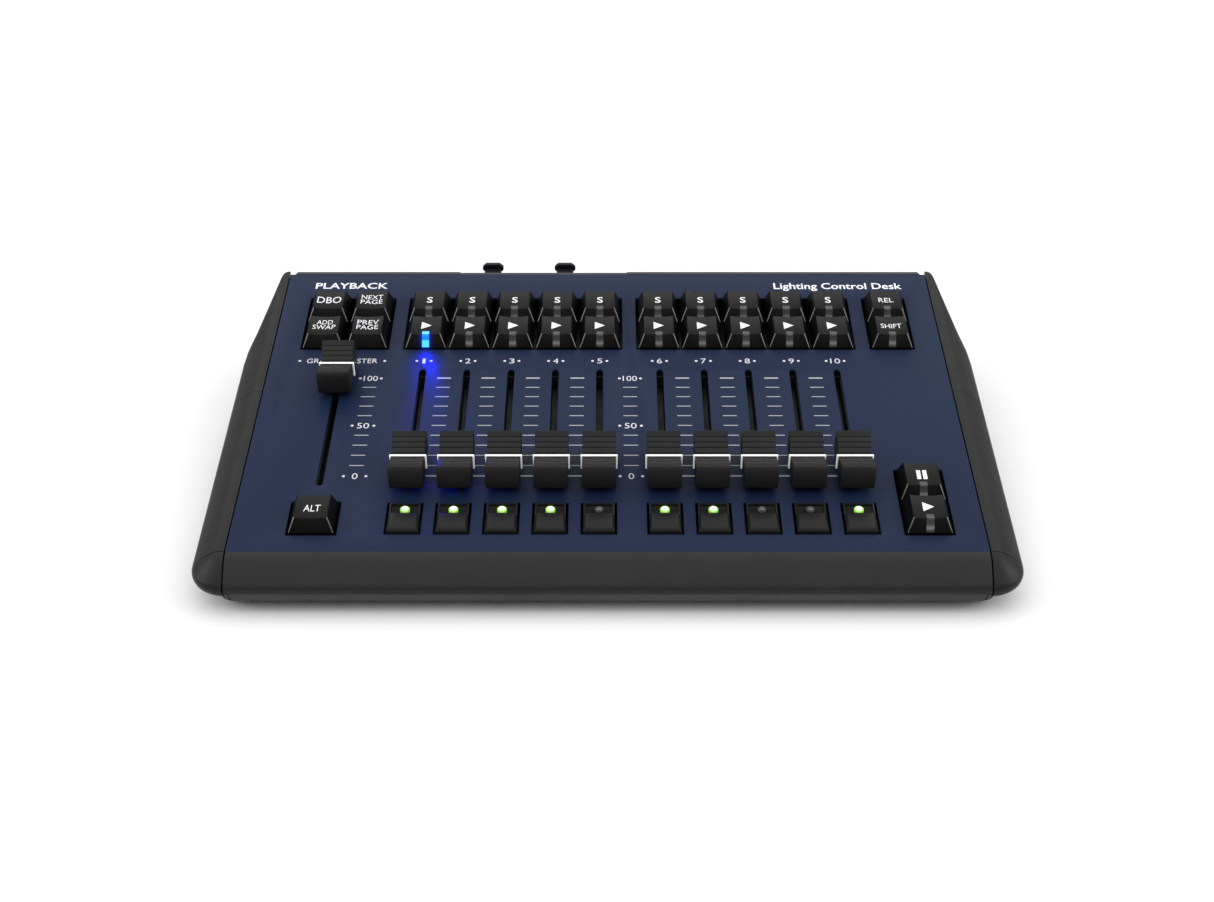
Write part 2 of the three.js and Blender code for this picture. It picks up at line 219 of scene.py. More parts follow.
def multiplied(nodes, links, first, second):
    """One colour output times another."""
    node = nodes.new("ShaderNodeMix")
    node.data_type = "RGBA"
    node.blend_type = "MULTIPLY"
    node.inputs["Factor"].default_value = 1.0
    links.new(first, node.inputs["A"])
    links.new(second, node.inputs["B"])
    return node.outputs["Result"]


def bump(nodes, links, principled, height, strength, distance):
    node = nodes.new("ShaderNodeBump")
    node.inputs["Strength"].default_value = strength
    node.inputs["Distance"].default_value = distance
    links.new(height, node.inputs["Height"])
    links.new(node.outputs["Normal"], principled.inputs["Normal"])


def scaled(color, factor):
    return tuple(channel * factor for channel in color)


def moulded(name, color, roughness, grain=2600, relief=0.25, variation=0.12,
            specular=0.5):
    """Painted, moulded or rolled surface: soft tone drift, fine grain in relief and gloss."""
    material, nodes, links, principled, coords = shader(name)
    drift = noise(nodes, links, coords, 38, 4)
    links.new(ramp(nodes, links, drift, [(0.3, scaled(color, 1 - variation)),
                                         (0.7, scaled(color, 1 + variation))]),
              principled.inputs["Base Color"])
    fine = noise(nodes, links, coords, grain, 2)
    patch = noise(nodes, links, coords, 120, 3)
    links.new(remap(nodes, links, patch, roughness - 0.05, roughness + 0.05),
              principled.inputs["Roughness"])
    bump(nodes, links, principled, fine, relief, 0.00012)
    principled.inputs["Specular IOR Level"].default_value = specular
    return material


def powder_coat(name, color):
    """Fine textured powder coat: speckled tone and a dense orange-peel relief."""
    material, nodes, links, principled, coords = shader(name)
    speck = noise(nodes, links, coords, 1500, 4, 0.7)
    drift = noise(nodes, links, coords, 22, 3)
    grains = ramp(nodes, links, speck, [(0.25, scaled(color, 0.72)), (0.5, color),
                                        (0.78, scaled(color, 1.4))])
    clouds = ramp(nodes, links, drift, [(0.3, (0.94, 0.94, 0.95)), (0.7, (1, 1, 1))])
    links.new(multiplied(nodes, links, grains, clouds), principled.inputs["Base Color"])
    links.new(remap(nodes, links, speck, 0.46, 0.6), principled.inputs["Roughness"])
    bump(nodes, links, principled, noise(nodes, links, coords, 1100, 3, 0.6), 0.3, 0.00012)
    principled.inputs["Specular IOR Level"].default_value = 0.15
    return material


def ink(name, color, glow=0.0):
    """Screen-printed ink: near even, with slight thin patches and a satin sheen; glow sets a faint
    white emission, a painted glow.
    """
    material, nodes, links, principled, coords = shader(name)
    patch = noise(nodes, links, coords, 900, 4)
    links.new(ramp(nodes, links, patch, [(0.3, scaled(color, 0.88)), (0.6, color)]),
              principled.inputs["Base Color"])
    links.new(remap(nodes, links, patch, 0.42, 0.56), principled.inputs["Roughness"])
    principled.inputs["Emission Color"].default_value = (1, 1, 1, 1)
    principled.inputs["Emission Strength"].default_value = glow
    return material


def light_pipe(name, lit):
    """Clear smoky window moulded through a keycap, banded along its length; unlit, its light bands
    are painted highlights, one where it bends over the front edge.
    """
    material, nodes, links, principled, coords = shader(name)
    split = nodes.new("ShaderNodeSeparateXYZ")
    links.new(coords, split.inputs[0])
    level = remap(nodes, links, split.outputs["Y"], 0, 1, (-0.0088, -0.0033))
    streak = noise(nodes, links, coords, 1800, 3)
    if lit:
        bands = [(0.0, (0.10, 0.70, 1.0)), (0.30, (0.10, 0.70, 1.0)), (0.36, (0.0, 0.15, 0.9)),
                 (0.56, (0.0, 0.22, 1.0)), (0.62, (0.10, 0.70, 1.0)), (1.0, (0.12, 0.65, 1.0))]
        links.new(ramp(nodes, links, level, bands), principled.inputs["Emission Color"])
        principled.inputs["Emission Strength"].default_value = 1.05
        principled.inputs["Base Color"].default_value = (0.02, 0.1, 0.3, 1)
    else:
        # painted highlights: lighter bands low on the front face and at the bend over the front
        # edge, dark between
        bands = [(0.02, (0.02,) * 3), (0.1, (0.09,) * 3), (0.2, (0.25,) * 3), (0.34, (0.07,) * 3),
                 (0.56, (0.05,) * 3), (0.6, (0.26,) * 3), (0.65, (0.06,) * 3), (1.0, (0.035,) * 3)]
        links.new(ramp(nodes, links, level, bands), principled.inputs["Base Color"])
        principled.inputs["Transmission Weight"].default_value = 0.15
    links.new(remap(nodes, links, streak, 0.12, 0.26), principled.inputs["Roughness"])
    bump(nodes, links, principled, streak, 0.15, 0.0001)
    return material


def lamp_lens(name, core, strength, rim):
    """Domed lamp: core colour in the middle, then rings of the rim colour out to 2 mm."""
    material, nodes, links, principled, coords = shader(name)
    split = nodes.new("ShaderNodeSeparateXYZ")
    links.new(coords, split.inputs[0])
    flat = nodes.new("ShaderNodeCombineXYZ")
    links.new(split.outputs["X"], flat.inputs["X"])
    links.new(split.outputs["Y"], flat.inputs["Y"])
    radius = nodes.new("ShaderNodeVectorMath")
    radius.operation = "LENGTH"
    links.new(flat.outputs[0], radius.inputs[0])
    reach = remap(nodes, links, radius.outputs["Value"], 0, 1, (0.0, 0.002))
    tint = ramp(nodes, links, reach, [(0.0, core), (0.60, core), (0.68, scaled(rim, 1.5)),
                                      (0.80, rim), (0.90, rim), (1.0, scaled(rim, 0.4))])
    speck = noise(nodes, links, coords, 2500, 2)
    links.new(remap(nodes, links, speck, 0.12, 0.2), principled.inputs["Roughness"])
    if strength:
        links.new(tint, principled.inputs["Emission Color"])
        principled.inputs["Emission Strength"].default_value = strength
        principled.inputs["Base Color"].default_value = (0.2, 0.4, 0.1, 1)
    else:
        links.new(tint, principled.inputs["Base Color"])
    return material


def key_plastic(name):
    """Near-black satin keycap plastic."""
    return moulded(name, (0.0028, 0.0028, 0.0027), 0.38, grain=2400, variation=0.08,
                   specular=0.13)


def bleeding_key(name):
    """Key plastic beside a lit window, with a blue glow painted on it that fades within 2 mm of
    the window.
    """
    material = key_plastic(name)
    nodes, links = material.node_tree.nodes, material.node_tree.links
    principled = nodes["Principled BSDF"]
    coords = nodes["Texture Coordinate"].outputs["Object"]
    split = nodes.new("ShaderNodeSeparateXYZ")
    links.new(coords, split.inputs[0])
    aside = nodes.new("ShaderNodeMath")
    aside.operation = "ABSOLUTE"
    links.new(split.outputs["X"], aside.inputs[0])
    painted_glow_across = ramp(nodes, links, remap(nodes, links, aside.outputs[0], 0, 1, (0.0014, 0.0044)),
                       [(0.0, (0.0, 0.014, 0.55)), (0.16, (0.0, 0.011, 0.28)),
                        (0.32, (0.0, 0.006, 0.10)), (0.55, (0.0, 0.002, 0.025)), (1.0, (0, 0, 0))])
    length = ramp(nodes, links, remap(nodes, links, split.outputs["Y"], 0, 1, (-0.0088, -0.0026)),
                  [(0.0, (0.3,) * 3), (0.15, (1,) * 3), (0.52, (1,) * 3), (0.6, (0.35,) * 3),
                   (0.9, (0.25,) * 3), (1.0, (0,) * 3)])
    # the painted glow: bluest beside the window, fading across and along it
    links.new(multiplied(nodes, links, painted_glow_across, length), principled.inputs["Emission Color"])
    principled.inputs["Emission Strength"].default_value = 1.0
    return material


def metal(name, color, roughness):
    """Plated or machined metal with fine drawn streaks."""
    material, nodes, links, principled, coords = shader(name)
    stretch = nodes.new("ShaderNodeMapping")
    stretch.inputs["Scale"].default_value = (1, 0.08, 1)
    links.new(coords, stretch.inputs["Vector"])
    line = noise(nodes, links, stretch.outputs[0], 400, 4)
    links.new(ramp(nodes, links, line, [(0.3, scaled(color, 0.85)), (0.7, scaled(color, 1.1))]),
              principled.inputs["Base Color"])
    links.new(remap(nodes, links, line, roughness - 0.06, roughness + 0.08),
              principled.inputs["Roughness"])
    principled.inputs["Metallic"].default_value = 1.0
    bump(nodes, links, principled, line, 0.08, 0.0001)
    return material


LOOKS = {
    "panel": powder_coat("panel_paint", (0.0057, 0.0148, 0.0455)),
    "tray": moulded("tray_paint", (0.044, 0.044, 0.044), 0.5, grain=1500, specular=0.25),
    "rail": moulded("rail_plastic", (0.0100, 0.0100, 0.0099), 0.42, grain=2000, variation=0.08,
                    specular=0.18),
    # the front bar is the rail plastic made lighter: painted light for the bar, which gets less of
    # the dome than the rails
    "bar": moulded("bar_plastic_painted_lighter", (0.0155, 0.0155, 0.0153), 0.42, grain=2000, variation=0.08,
                   specular=0.2),
    "key": key_plastic("key_plastic"),
    # light grey on the keys' front chamfers: a painted highlight along the corners
    "key_edge": moulded("key_edge_wear", (0.09, 0.09, 0.088), 0.3, grain=2400, variation=0.2,
                        specular=0.5),
    "flash": moulded("flash_plastic", (0.010, 0.010, 0.0098), 0.42, grain=2400, variation=0.08,
                     specular=0.17),
    "cap": moulded("cap_plastic", (0.0135, 0.0135, 0.0132), 0.56, grain=2600, variation=0.08,
                   specular=0.18),
    "latch": moulded("latch_plastic", (0.008, 0.0085, 0.011), 0.45, grain=2600, variation=0.1,
                     specular=0.25),
    "socket": moulded("socket_plastic", (0.007, 0.007, 0.008), 0.4, grain=2200, variation=0.1),
    "board": moulded("board_laminate", (0.008, 0.016, 0.011), 0.5, grain=900, variation=0.25),
    "switch": moulded("switch_housing", (0.006, 0.006, 0.007), 0.55, grain=2000),
    "rubber": moulded("foot_rubber", (0.010, 0.010, 0.010), 0.85, grain=1300, relief=0.5),
    # the lit key's plastic, with the painted blue glow beside its window
    "key_lit": bleeding_key("key_plastic_lit"),
    "legend": ink("legend_ink", (0.86, 0.87, 0.88)),
    "print": ink("panel_print", (0.36, 0.37, 0.38)),
    "panel_words": ink("panel_words", (0.66, 0.67, 0.69)),
    # the pointer line is given a faint glow: painted light that keeps it white on its shaded
    # flanks
    "line": ink("pointer_line", (0.97, 0.97, 0.97), 0.25),
    "window": light_pipe("key_window", False),
    "window_lit": light_pipe("key_window_lit", True),
    "lamp_on": lamp_lens("lamp_on", (0.85, 1.0, 0.72), 2.6, (0.07, 0.18, 0.01)),
    "lamp_off": lamp_lens("lamp_off", (0.10, 0.10, 0.10), 0.0, (0.045, 0.045, 0.045)),
    "steel": metal("zinc_steel", (0.42, 0.42, 0.43), 0.34),
    "contact": metal("gold_contact", (0.75, 0.56, 0.25), 0.25),
}

# ------------------------------------------------------------------ mesh tools


def new_mesh(name, points, faces):
    mesh = bpy.data.meshes.new(name)
    mesh.from_pydata([Vector(p) * MM for p in points], [], faces)
    work = bmesh.new()
    work.from_mesh(mesh)
    bmesh.ops.remove_doubles(work, verts=work.verts, dist=1e-7)
    bmesh.ops.recalc_face_normals(work, faces=work.faces)
    work.to_mesh(mesh)
    work.free()
    return mesh


def soften(mesh, width, segments=2, angle=25, smooth=40):
    """Rounds the sharp edges by width millimetres and shades the rest smooth."""
    work = bmesh.new()
    work.from_mesh(mesh)
    if width:
        sharp = [e for e in work.edges if len(e.link_faces) == 2
                 and e.calc_face_angle(0) > math.radians(angle)]
        bmesh.ops.bevel(work, geom=sharp, offset=width * MM, offset_type="OFFSET",
                        segments=segments, profile=0.5, affect="EDGES", clamp_overlap=True)
    work.to_mesh(mesh)
    work.free()
    mesh.polygons.foreach_set("use_smooth", [True] * len(mesh.polygons))
    mesh.set_sharp_from_angle(angle=math.radians(smooth))
    return mesh


def loft(name, rings):
    """Skin through rings of equal length, in order, with both ends closed."""
    count = len(rings[0])
    points = [p for ring in rings for p in ring]
    faces = []
    for i in range(len(rings) - 1):
        for j in range(count):
            a, b = i * count + j, i * count + (j + 1) % count
            faces.append((a, b, b + count, a + count))
    faces.append(tuple(reversed(range(count))))
    faces.append(tuple(range((len(rings) - 1) * count, len(rings) * count)))
    return new_mesh(name, points, faces)


def along_x(name, profile, x0, x1):
    return loft(name, [[(x, y, z) for y, z in profile] for x in (x0, x1)])


def along_y(name, outline, y0, y1):
    return loft(name, [[(x, y, z) for x, z in outline] for y in (y0, y1)])


def along_z(name, outline, z0, z1):
    return loft(name, [[(x, y, z) for x, y in outline] for z in (z0, z1)])


def block(name, x, y, z):
    return along_z(name, [(x[0], y[0]), (x[1], y[0]), (x[1], y[1]), (x[0], y[1])], *z)


def ring_points(radius, count):
    step = 2 * math.pi / count
    return [(radius * math.cos(i * step), radius * math.sin(i * step)) for i in range(count)]


def turned(name, profile, count=32, axis="Z"):
    """Surface of revolution from (radius, height) pairs, about the Z or the Y axis."""
    rings = []
    for radius, height in profile:
        ring = []
        for a, b in ring_points(max(radius, 0.0005), count):
            ring.append((a, b, height) if axis == "Z" else (a, height, -b))
        rings.append(ring)
    return loft(name, rings)


def joined(name, meshes):
    """One mesh out of several (mesh, matrix) pairs, keeping sharp edges and smoothing."""
    work = bmesh.new()
    for mesh, matrix in meshes:
        copy = mesh.copy()
        copy.transform(matrix)
        work.from_mesh(copy)
        bpy.data.meshes.remove(copy)
    mesh = bpy.data.meshes.new(name)
    work.to_mesh(mesh)
    work.free()
    return mesh


def together(name, meshes):
    return joined(name, [(mesh, Matrix.Identity(4)) for mesh in meshes])


def cad_copy(node, axes):
    """Copy of a node's CAD mesh on the given axes, with its flat faces made whole again."""
    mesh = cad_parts[node].data.copy()
    mesh.transform(axes.inverted())
    work = bmesh.new()
    work.from_mesh(mesh)
    bmesh.ops.remove_doubles(work, verts=work.verts, dist=2e-6)
    bmesh.ops.dissolve_limit(work, angle_limit=math.radians(1), verts=work.verts,
                             edges=work.edges)
    work.to_mesh(mesh)
    work.free()
    return mesh


def cut(mesh, cutters):
    """mesh with each cutter mesh removed from it."""
    host = bpy.data.objects.new("cut_host", mesh)
    scene.collection.objects.link(host)
    tools = []
    for cutter in cutters:
        tool = bpy.data.objects.new("cut_tool", cutter)
        scene.collection.objects.link(tool)
        modifier = host.modifiers.new("cut", "BOOLEAN")
        modifier.operation = "DIFFERENCE"
        modifier.solver = "EXACT"
        modifier.object = tool
        tools.append(tool)
    graph = bpy.context.evaluated_depsgraph_get()
    result = bpy.data.meshes.new_from_object(host.evaluated_get(graph))
    for item in (host, *tools):
        bpy.data.objects.remove(item)
    return result


def shift(x=0.0, y=0.0, z=0.0):
    return Matrix.Translation(Vector((x, y, z)) * MM)


BOARD = {"replaces": ["main_board"], "slot": "board_laminate"}


def add(name, mesh, look, body="desk", place=None, replaces=(), slot=None):
    """Puts a piece in the scene on a CAD body; look is one or more of LOOKS, joined by +."""
    obj = bpy.data.objects.new(name, mesh)
    scene.collection.objects.link(obj)
    obj.matrix_world = SLOPE if place is None else place
    marks = [face.material_index for face in mesh.polygons]
    mesh.materials.clear()
    for part in look.split("+"):
        mesh.materials.append(LOOKS[part])
    mesh.polygons.foreach_set("material_index", marks)
    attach(obj, body)
    if replaces:
        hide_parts(*replaces)
    return obj


def lettering(text, width, height, bold=0.0):
    """Flat letters centred on the origin, width by height millimetres overall."""
    curve = bpy.data.curves.new("letters", "FONT")
    curve.body = text
    curve.size = 1.0
    curve.offset = bold
    curve.resolution_u = 3
    holder = bpy.data.objects.new("letters", curve)
    scene.collection.objects.link(holder)
    graph = bpy.context.evaluated_depsgraph_get()
    mesh = bpy.data.meshes.new_from_object(holder.evaluated_get(graph))
    bpy.data.objects.remove(holder)
    bpy.data.curves.remove(curve)
    xs = [v.co.x for v in mesh.vertices]
    ys = [v.co.y for v in mesh.vertices]
    scale_x = width * MM / (max(xs) - min(xs))
    scale_y = height * MM / (max(ys) - min(ys))
    mid_x, mid_y = (max(xs) + min(xs)) / 2, (max(ys) + min(ys)) / 2
    for vertex in mesh.vertices:
        vertex.co.x = (vertex.co.x - mid_x) * scale_x
        vertex.co.y = (vertex.co.y - mid_y) * scale_y
        vertex.co.z = 0
    return mesh


def flat_shape(name, outlines):
    """Flat faces at height 0, one for each outline."""
    points, faces = [], []
    for outline in outlines:
        faces.append(tuple(range(len(points), len(points) + len(outline))))
        points += [(x, y, 0) for x, y in outline]
    return new_mesh(name, points, faces)


# ------------------------------------------------------------------ floor

FLOOR_HALF = 40000
floor_mesh = flat_shape("floor", [[(-FLOOR_HALF, -FLOOR_HALF), (FLOOR_HALF, -FLOOR_HALF),
                                   (FLOOR_HALF, FLOOR_HALF), (-FLOOR_HALF, FLOOR_HALF)]])
floor = bpy.data.objects.new("floor", floor_mesh)
scene.collection.objects.link(floor)
floor_look, nodes, links, principled, coords = shader("floor_card")
links.new(ramp(nodes, links, noise(nodes, links, coords, 6, 3),
               [(0.3, (0.82, 0.82, 0.82)), (0.7, (0.83, 0.83, 0.83))]),
          principled.inputs["Base Color"])
principled.inputs["Roughness"].default_value = 0.9
principled.inputs["Specular IOR Level"].default_value = 0.1
floor_mesh.materials.append(floor_look)
floor.location.z = -0.2 * MM

# ------------------------------------------------------------------ top panel

add("panel_sheet", soften(cad_copy("top_panel", SLOPE), 0.22, 2, 40), "panel",
    replaces=["top_panel"], slot="panel_paint")

# printed scales, column numbers and words
ticks, dots = [], []


def tick(u, v, length, thick):
    ticks.append([(u - length / 2, v - thick / 2), (u + length / 2, v - thick / 2),
                  (u + length / 2, v + thick / 2), (u - length / 2, v + thick / 2)])


def dot_pair(u, v, reach):
    """A dot on each side of a number or word."""
    for side in (-reach, reach):
        dots.append([(u + side + a, v + b) for a, b in ring_points(0.62, 16)])


def printed(name, texts):
    """One mesh of all the letters, each text at its place on the panel."""
    return joined(name, [(mesh, shift(u, v, INK_PROUD)) for mesh, u, v in texts])


between = [(COLUMNS[i] + COLUMNS[i + 1]) / 2 for i in (0, 1, 2, 3, 5, 6, 7, 8)]
centre_scale = (COLUMNS[4] + COLUMNS[5]) / 2
master_scale = -101.4
TICK_LENGTH, TICK_THIN, TICK_THICK = 5.9, 0.5, 0.9
for step in range(11):
    v = SCALE_ZERO_V + SCALE_STEP * step
    for u in between:
        tick(u, v, TICK_LENGTH, TICK_THICK if step in (0, 10) else TICK_THIN)
    for u in (centre_scale, master_scale):
        if step % 5:
            tick(u, v, TICK_LENGTH, TICK_THIN)
words = []
for u in (centre_scale, master_scale):
    for step, text, width in ((0, "0", 2.3), (5, "50", 5.0), (10, "100", 6.1)):
        v = SCALE_ZERO_V + SCALE_STEP * step - 0.2
        words.append((lettering(text, width, 3.5), u, v))
        dot_pair(u, v, 4.5)
for number, u in enumerate(COLUMNS, 1):
    width = {1: 1.2, 10: 4.3}.get(number, 2.3)
    words.append((lettering(str(number), width, 3.4), u, NUMBER_V))
    dot_pair(u, NUMBER_V, 3.1 if number < 10 else 3.9)
words.append((lettering("GRAND MASTER", 30.6, 3.2), MASTER_U, NUMBER_V))
dot_pair(MASTER_U, NUMBER_V, 18.4)
add("panel_words", printed("panel_words", words), "panel_words", slot="panel_paint")
add("panel_dots", flat_shape("panel_dots", dots), "panel_words",
    place=SLOPE @ shift(z=INK_PROUD), slot="panel_paint")
add("panel_scales", flat_shape("panel_scales", ticks), "print",
    place=SLOPE @ shift(z=INK_PROUD), slot="panel_paint")
title = [(lettering("Lighting Control Desk", 58.5, 6.2, 0.015), 105.2, 174.0),
         (lettering("PLAYBACK", 33, 4.6, 0.015), -117.0, 174.9)]
add("panel_title", printed("panel_title", title), "legend", slot="panel_paint")

# ------------------------------------------------------------------ rails and front bar


def flowing(points, steps=5):
    """Smooth open curve that follows a control polygon and keeps inside it."""
    result = []
    count = len(points)
    for i, point in enumerate(points):
        if i in (0, count - 1):
            result.append(tuple(point))
            continue
        here = Vector(point)
        start = (Vector(points[i - 1]) + here) / 2
        end = (here + Vector(points[i + 1])) / 2
        for k in range(steps + 1):
            t = k / steps
            p = start * (1 - t) ** 2 + here * 2 * t * (1 - t) + end * t ** 2
            if not result or (Vector(result[-1]) - p).length > 1e-4:
                result.append(tuple(p))
    return result


# rail section from the panel's edge outwards: (out, w) pairs
RAIL = flowing([(0, 0), (2.4, -0.1), (4.4, -0.75), (8.3, -3.2), (11.9, -6), (12.95, -7.1),
                (13.42, -8.6), (13.2, -10.15), (12.45, -11.45), (11.1, -12.45), (9.3, -13)])
RAIL.append((0, -13))
SEAM = 0.15

bar_half = PANEL_HALF - 0.6
bar_section = [(-SEAM, 0)] + [(out, w) for out, w in RAIL if w > -9.3 and out > 0] + [
    (13.3, -9.75), (12.6, -10.2), (9.3, -11.5), (-SEAM, -11.5)]
bar_mesh = loft("front_bar_moulding", [[(x, -out - SEAM, w) for out, w in bar_section]
                                       for x in (-bar_half, bar_half)])
add("front_bar_moulding", soften(bar_mesh, 0, smooth=30), "bar",
    replaces=["front_bar"], slot="rail_plastic")

# how far out the rail's outline stands towards the back: (v, out) pairs
PLAN = [(126, 13.9), (134, 12.9), (145, 10.2), (156.3, 8.2), (167.8, 6.3), (179.6, 4.5),
        (183.4, 3.9), (185.2, 3.3), (186, 2.6), (186.4, 1.4)]


def reach_at(v):
    """How far out the rail may stand at v."""
    if v <= PLAN[0][0]:
        return math.inf
    for (v0, r0), (v1, r1) in zip(PLAN, PLAN[1:]):
        if v <= v1:
            return r0 + (r1 - r0) * (v - v0) / (v1 - v0)
    return PLAN[-1][1]


def trimmed(v, sign):
    """The rail section at v, cut off at the narrowing plan with an eased edge."""
    ease = 1.6
    limit = reach_at(v)
    ring = []
    for out, w in RAIL:
        overlap = max(ease - abs(out - limit), 0) / ease
        near = min(out, limit) - overlap ** 2 * ease / 4
        ring.append((sign * (max(near, 0) + SEAM), v, w))
    return ring


def spread(low, high, count):
    return [low + (high - low) * i / count for i in range(count + 1)]


for sign, side in ((-1, "left"), (1, "right")):
    lower = [trimmed(v, sign) for v in spread(0.35, 97.9, 4)]
    upper = [trimmed(v, sign) for v in
             spread(98.15, 124, 2) + spread(126, 183, 24) +
             [184, 184.8, 185.4, 185.9, 186.2, 186.4]]
    corner = []
    for angle in spread(0, math.pi / 2, 24):
        corner.append([(sign * math.cos(angle) * (out + SEAM), -math.sin(angle) * (out + SEAM), w)
                       for out, w in RAIL])
    place = SLOPE @ shift(sign * PANEL_HALF)
    for part, rings in (("rail_lower", lower), ("rail_upper", upper), ("corner", corner)):
        add(f"{side}_{part}", soften(loft(f"{side}_{part}", rings), 0, smooth=30), "rail",
            place=place, replaces=[f"{side}_cheek"], slot="rail_plastic")

# ------------------------------------------------------------------ keycaps

SKIRT = 8.75
TOP_W, BASE_W, SHOULDER_W = 5.7, -2.6, 0.3
DISH_RADIUS, DISH_DEPTH = 38.0, 0.55


def dish_height(x):
    rise = DISH_RADIUS - math.sqrt(DISH_RADIUS ** 2 - x ** 2)
    return min(TOP_W, TOP_W - DISH_DEPTH + rise)


def keycap_mesh():
    """Hollow cap with a dished top; the two front corners are cut to flat chamfers."""
    cells = 14
    fractions = [i / cells for i in range(cells + 1)]

    def ring(half, y0, y1, height, chamfer=0.0):
        front = [(-half + chamfer + 2 * (half - chamfer) * f, y0) for f in fractions]
        side = [(half, y0 + chamfer), (half, y1)]
        back = [(half - 2 * half * f, y1) for f in fractions[1:-1]]
        rest = [(-half, y1), (-half, y0 + chamfer)]
        return [(x, y, height(x) if callable(height) else height)
                for x, y in front + side + back + rest]

    outside = [ring(SKIRT, -SKIRT, SKIRT, BASE_W, 0.24),
               ring(SKIRT, -SKIRT, SKIRT, SHOULDER_W, 0.24),
               ring(6.5, -5.6, 7.5, dish_height, 0.37)]
    inside = [ring(7.55, -7.55, 7.55, BASE_W), ring(7.5, -7.5, 7.5, -0.3),
              ring(5.8, -5.4, 6.3, 2.8)]
    rings = outside + inside
    count = len(rings[0])
    points = [p for r in rings for p in r]
    faces = []
    for a, b, flip in ((0, 1, False), (1, 2, False), (0, 3, True), (3, 4, True), (4, 5, True)):
        for j in range(count):
            k = (j + 1) % count
            quad = (a * count + j, a * count + k, b * count + k, b * count + j)
            faces.append(tuple(reversed(quad)) if flip else quad)
    for level, flip in ((2, False), (5, True)):
        start = level * count
        front = [start + i for i in range(cells + 1)]
        back = [start + count - 2 - i for i in range(cells + 1)]
        for j in range(cells):
            quad = (front[j], front[j + 1], back[j + 1], back[j])
            faces.append(tuple(reversed(quad)) if flip else quad)
        for corner in ((front[-1], front[-1] + 1, back[-1]), (front[0], back[0], back[0] + 1)):
            faces.append(tuple(reversed(corner)) if flip else corner)
    mesh = new_mesh("keycap", points, faces)
    work = bmesh.new()
    work.from_mesh(mesh)
    edges = [e for e in work.edges if len(e.link_faces) == 2
             and e.calc_face_angle(0) > math.radians(22)
             and min(v.co.z for v in e.verts) > 5.0 * MM]
    bmesh.ops.bevel(work, geom=edges, offset=0.16 * MM, offset_type="OFFSET", segments=2,
                    profile=0.5, affect="EDGES", clamp_overlap=True)
    work.to_mesh(mesh)
    work.free()
    soften(mesh, 0, smooth=28)
    # the front chamfer faces take the second material, the painted highlight
    for face in mesh.polygons:
        along, out, up = face.normal
        face.material_index = int(0.3 < abs(along) < 0.88 and out < -0.35 and up > 0.12)
    return mesh


KEYCAP = keycap_mesh()
KEYCAP_LIT = KEYCAP.copy()
STEM = soften(together("key_stem", [
    block("wide", (-2.0, 2.0), (-0.65, 0.65), (-4.4, 2.9)),
    block("narrow", (-0.55, 0.55), (-2.0, 2.0), (-4.4, 2.9))]), 0)


def window_mesh():
    """Strip let into the cap: a short way over the top, then down the whole front face."""
    half, proud = 1.52, 0.035
    top = dish_height(0)
    front_top, front_low = Vector((-5.6, top)), Vector((-SKIRT, SHOULDER_W))
    run = front_low - front_top
    normal = Vector((run.y, -run.x)).normalized()
    path = [(-3.3, top + proud), (-4.4, top + proud), (-5.42, top + proud)]
    for t in (0.045, 0.1, 0.25, 0.4, 0.55, 0.7, 0.85, 0.96):
        point = front_top + run * t + normal * proud
        path.append((point.x, point.y))
    count = len(path)
    points = [(x, y, z) for x in (-half, half) for y, z in path]
    faces = [(i, i + 1, count + i + 1, count + i) for i in range(count - 1)]
    return soften(new_mesh("key_window", points, faces), 0, smooth=60)


WINDOW = window_mesh()
WINDOW_LIT = WINDOW.copy()


def on_dish(mesh, back):
    """Lays flat letters on the dished top, just proud of it."""
    for vertex in mesh.vertices:
        vertex.co.y += back * MM
        vertex.co.z = (dish_height(vertex.co.x / MM) + INK_PROUD) * MM
    return mesh


def play_symbol():
    return flat_shape("play", [[(-2.2, -2.6), (2.2, 0.0), (-2.2, 2.6)]])


def pause_symbol():
    half, tall = 0.82, 2.65
    return flat_shape("pause", [[(x - half, -tall), (x + half, -tall), (x + half, tall),
                                 (x - half, tall)] for x in (-1.22, 1.22)])


def two_lines(upper, lower):
    """Two words, each given with its width, one above the other."""
    return joined("two_lines", [(lettering(*upper, 3.1), shift(y=1.8)),
                                (lettering(*lower, 3.1), shift(y=-1.8))])


# for each key: u, v, legend, how far the legend stands back from the middle, has a window
keys = {}
for number, u in enumerate(COLUMNS, 1):
    keys[f"select_key_{number}"] = (u, ROW_HIGH, lettering("S", 2.6, 4.3, 0.012), 1.1, True)
    keys[f"go_key_{number}"] = (u, ROW_LOW, play_symbol(), 0.95, True)
keys["blackout_key"] = (PAGE_U[0], ROW_HIGH, lettering("DBO", 10.7, 4.7), 0.9, False)
keys["next_page_key"] = (PAGE_U[1], ROW_HIGH, two_lines(("NEXT", 9.6), ("PAGE", 9.8)), 1.3, False)
keys["add_swap_key"] = (PAGE_U[0], ROW_LOW, two_lines(("ADD", 7.0), ("SWAP", 10.0)), 1.5, False)
keys["prev_page_key"] = (PAGE_U[1], ROW_LOW, two_lines(("PREV", 9.4), ("PAGE", 9.5)), 1.5, False)
keys["release_key"] = (SIDE_U, ROW_HIGH, lettering("REL", 6.6, 3.3), 0.9, True)
keys["shift_key"] = (SIDE_U, ROW_LOW, lettering("SHIFT", 9.1, 3.2), 0.5, True)
keys["pause_key"] = (SIDE_U, GO_V + KEY_PITCH, pause_symbol(), 0.7, True)
keys["master_go_key"] = (SIDE_U, GO_V, play_symbol(), 0.95, True)
keys["alt_key"] = (*ALT_UV, lettering("ALT", 6.5, 3.7), 0.1, False)

